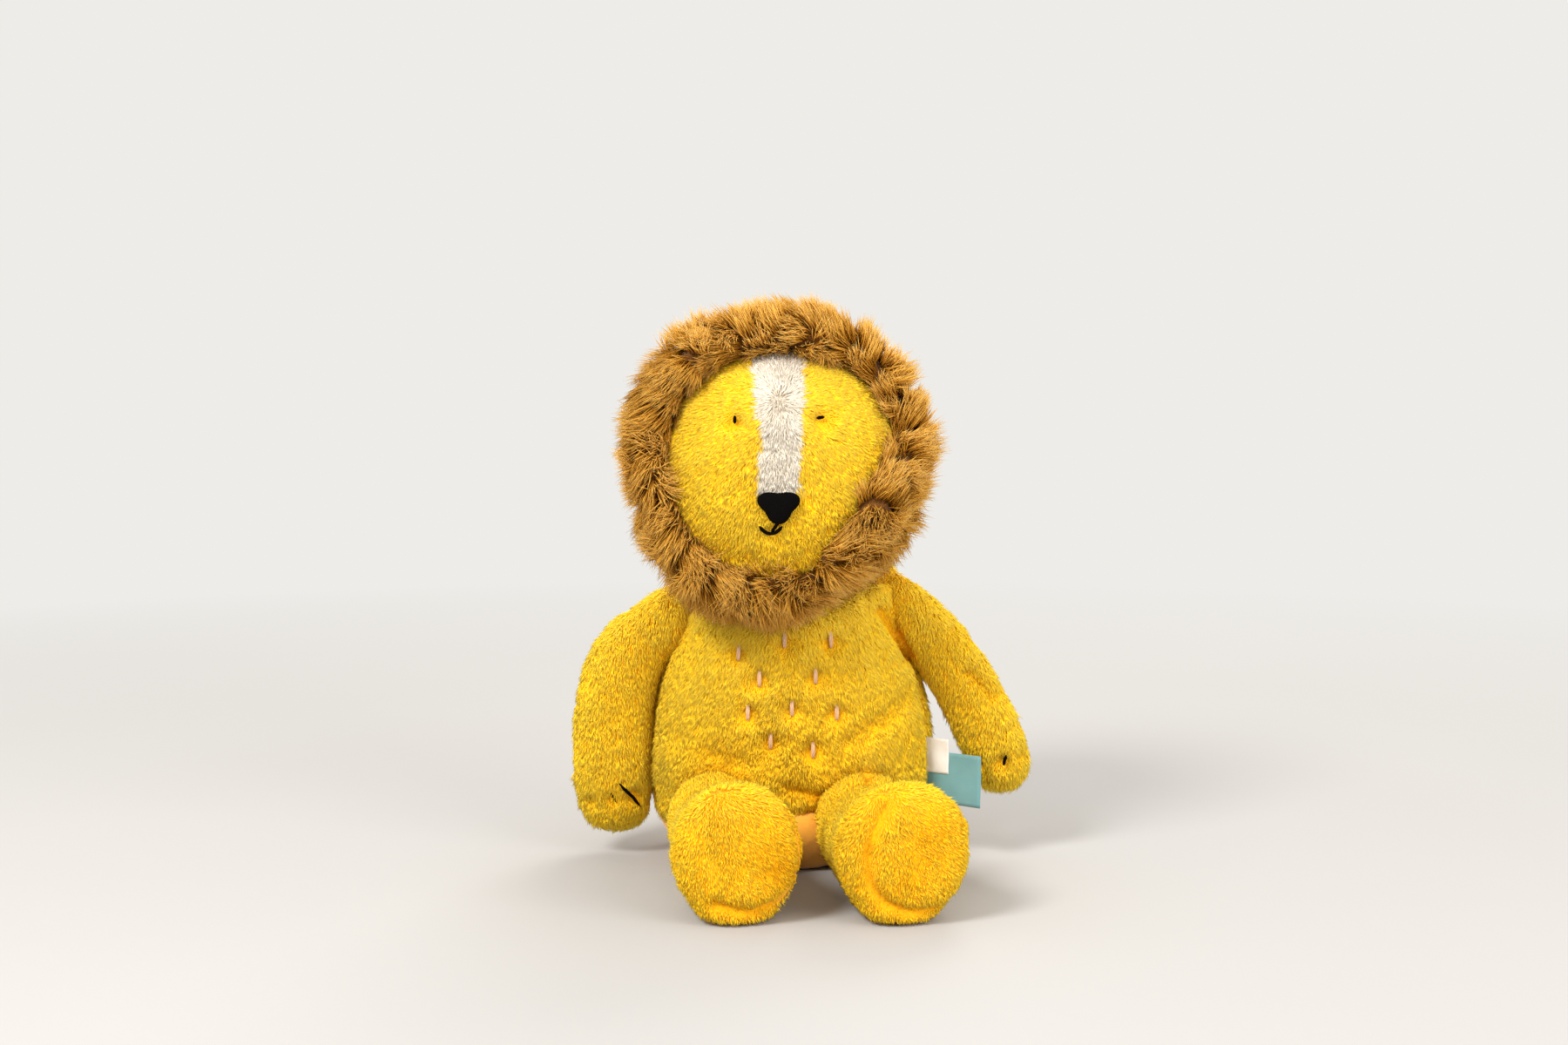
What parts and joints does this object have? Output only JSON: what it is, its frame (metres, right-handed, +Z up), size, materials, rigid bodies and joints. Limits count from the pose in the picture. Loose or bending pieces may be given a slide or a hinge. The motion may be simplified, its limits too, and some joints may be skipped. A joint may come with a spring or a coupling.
{
  "type": "plush lion",
  "caption": "Seated stuffed plush lion with a long-pile mane round its face, soft arms and legs, and a tufted tail.",
  "frame": {"origin": "under the middle of the body's flat seat, on the surface it sits on, in the toy's own middle plane", "axes": "+Z up; -Y is the way the toy faces; +X is the side that is on the right when looking at its face"},
  "size_m": [0.2781, 0.3036, 0.3274],
  "materials": {
    "yellow_plush": "short pile, matt",
    "cream_plush": "short pile, matt",
    "tan_long_pile": "long pile in locks, matt",
    "seat_cloth": "smooth brushed knit",
    "black_thread": "satin thread",
    "pink_thread": "satin thread",
    "stuffing": "loose fibre",
    "bean_bag": "plain lining cloth",
    "white_tape": "woven satin tape, bare",
    "teal_tape": "woven satin tape, bare"
  },
  "bodies": {
    "torso": {"torso_front_panel": "yellow_plush", "torso_back_panel": "yellow_plush", "seat_panel": "seat_cloth", "torso_filling": "stuffing", "bean_pouch": "bean_bag", "chest_stitch_01": "pink_thread", "chest_stitch_02": "pink_thread", "chest_stitch_03": "pink_thread", "chest_stitch_04": "pink_thread", "chest_stitch_05": "pink_thread", "chest_stitch_06": "pink_thread", "chest_stitch_07": "pink_thread", "chest_stitch_08": "pink_thread", "chest_stitch_09": "pink_thread", "chest_stitch_10": "pink_thread", "side_label_white": "white_tape", "side_label_blue": "teal_tape"},
    "neck": {"neck_gusset": "yellow_plush"},
    "head": {"face_left_panel": "yellow_plush", "face_right_panel": "yellow_plush", "face_stripe": "cream_plush", "head_back_panel": "yellow_plush", "head_filling": "stuffing", "mane_band": "tan_long_pile", "mane_back_panel": "tan_long_pile", "nose": "black_thread", "mouth": "black_thread", "eye_left": "black_thread", "eye_right": "black_thread"},
    "left_arm": {"left_arm_front_panel": "yellow_plush", "left_arm_back_panel": "yellow_plush", "left_arm_filling": "stuffing", "left_claw_1": "black_thread", "left_claw_2": "black_thread", "left_claw_3": "black_thread"},
    "right_arm": {"right_arm_front_panel": "yellow_plush", "right_arm_back_panel": "yellow_plush", "right_arm_filling": "stuffing", "right_claw_1": "black_thread", "right_claw_2": "black_thread", "right_claw_3": "black_thread"},
    "left_leg": {"left_leg_skin": "yellow_plush", "left_sole_panel": "yellow_plush", "left_leg_filling": "stuffing"},
    "right_leg": {"right_leg_skin": "yellow_plush", "right_sole_panel": "yellow_plush", "right_leg_filling": "stuffing"},
    "tail": {"tail_tube": "yellow_plush", "tail_tuft": "tan_long_pile"}
  },
  "joints": [
    {"name": "head_turn", "type": "hinge", "parent": "torso", "child": "neck", "pos_m": [-0.006, -0.022, 0.23795], "axis": [0, 0, 1], "range_deg": [-30, 30], "stiffness_Nm_per_rad": 0.2},
    {"name": "head_nod", "type": "hinge", "parent": "neck", "child": "head", "pos_m": [-0.006, -0.022, 0.23795], "axis": [1, 0, 0], "range_deg": [-10, 12], "stiffness_Nm_per_rad": 0.5},
    {"name": "left_shoulder", "type": "hinge", "parent": "torso", "child": "left_arm", "pos_m": [-0.07524, -0.00528, 0.138], "axis": [0, 1, 0], "range_deg": [0, 40], "stiffness_Nm_per_rad": 0.5},
    {"name": "right_shoulder", "type": "hinge", "parent": "torso", "child": "right_arm", "pos_m": [0.07524, -0.00528, 0.138], "axis": [0, -1, 0], "range_deg": [0, 30], "stiffness_Nm_per_rad": 0.5},
    {"name": "left_hip", "type": "hinge", "parent": "torso", "child": "left_leg", "pos_m": [-0.042, -0.05544, 0.0295], "axis": [0, 0, -1], "range_deg": [0, 20], "stiffness_Nm_per_rad": 0.3},
    {"name": "right_hip", "type": "hinge", "parent": "torso", "child": "right_leg", "pos_m": [0.042, -0.05544, 0.0295], "axis": [0, 0, 1], "range_deg": [-3, 15], "stiffness_Nm_per_rad": 0.3},
    {"name": "tail_swing", "type": "hinge", "parent": "torso", "child": "tail", "pos_m": [0, 0.06402, 0.031], "axis": [0, 0, 1], "range_deg": [-8, 45], "stiffness_Nm_per_rad": 0.05}
  ]
}
